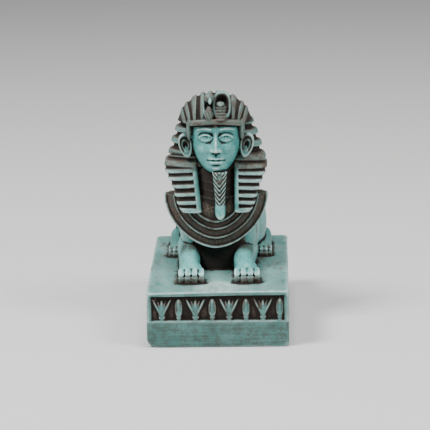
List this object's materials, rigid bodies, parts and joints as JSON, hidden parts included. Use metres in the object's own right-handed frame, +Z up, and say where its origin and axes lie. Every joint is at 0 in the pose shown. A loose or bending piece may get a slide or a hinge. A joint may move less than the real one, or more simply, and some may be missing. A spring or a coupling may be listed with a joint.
{
  "type": "sphinx figurine",
  "caption": "Small cast ornament: a crouching sphinx with a striped royal headcloth on an oblong plinth with a lotus frieze.",
  "frame": {"origin": "middle of the plinth's underside", "axes": "+Z up, the sphinx looks along -Y, +X to the right of someone who faces it"},
  "size_m": [0.056, 0.105, 0.0987],
  "materials": {
    "patina": "turquoise paint with a dark brown wash in the hollows, on cast polystone"
  },
  "bodies": {
    "root": {"sphinx_on_plinth": "patina"}
  },
  "joints": []
}
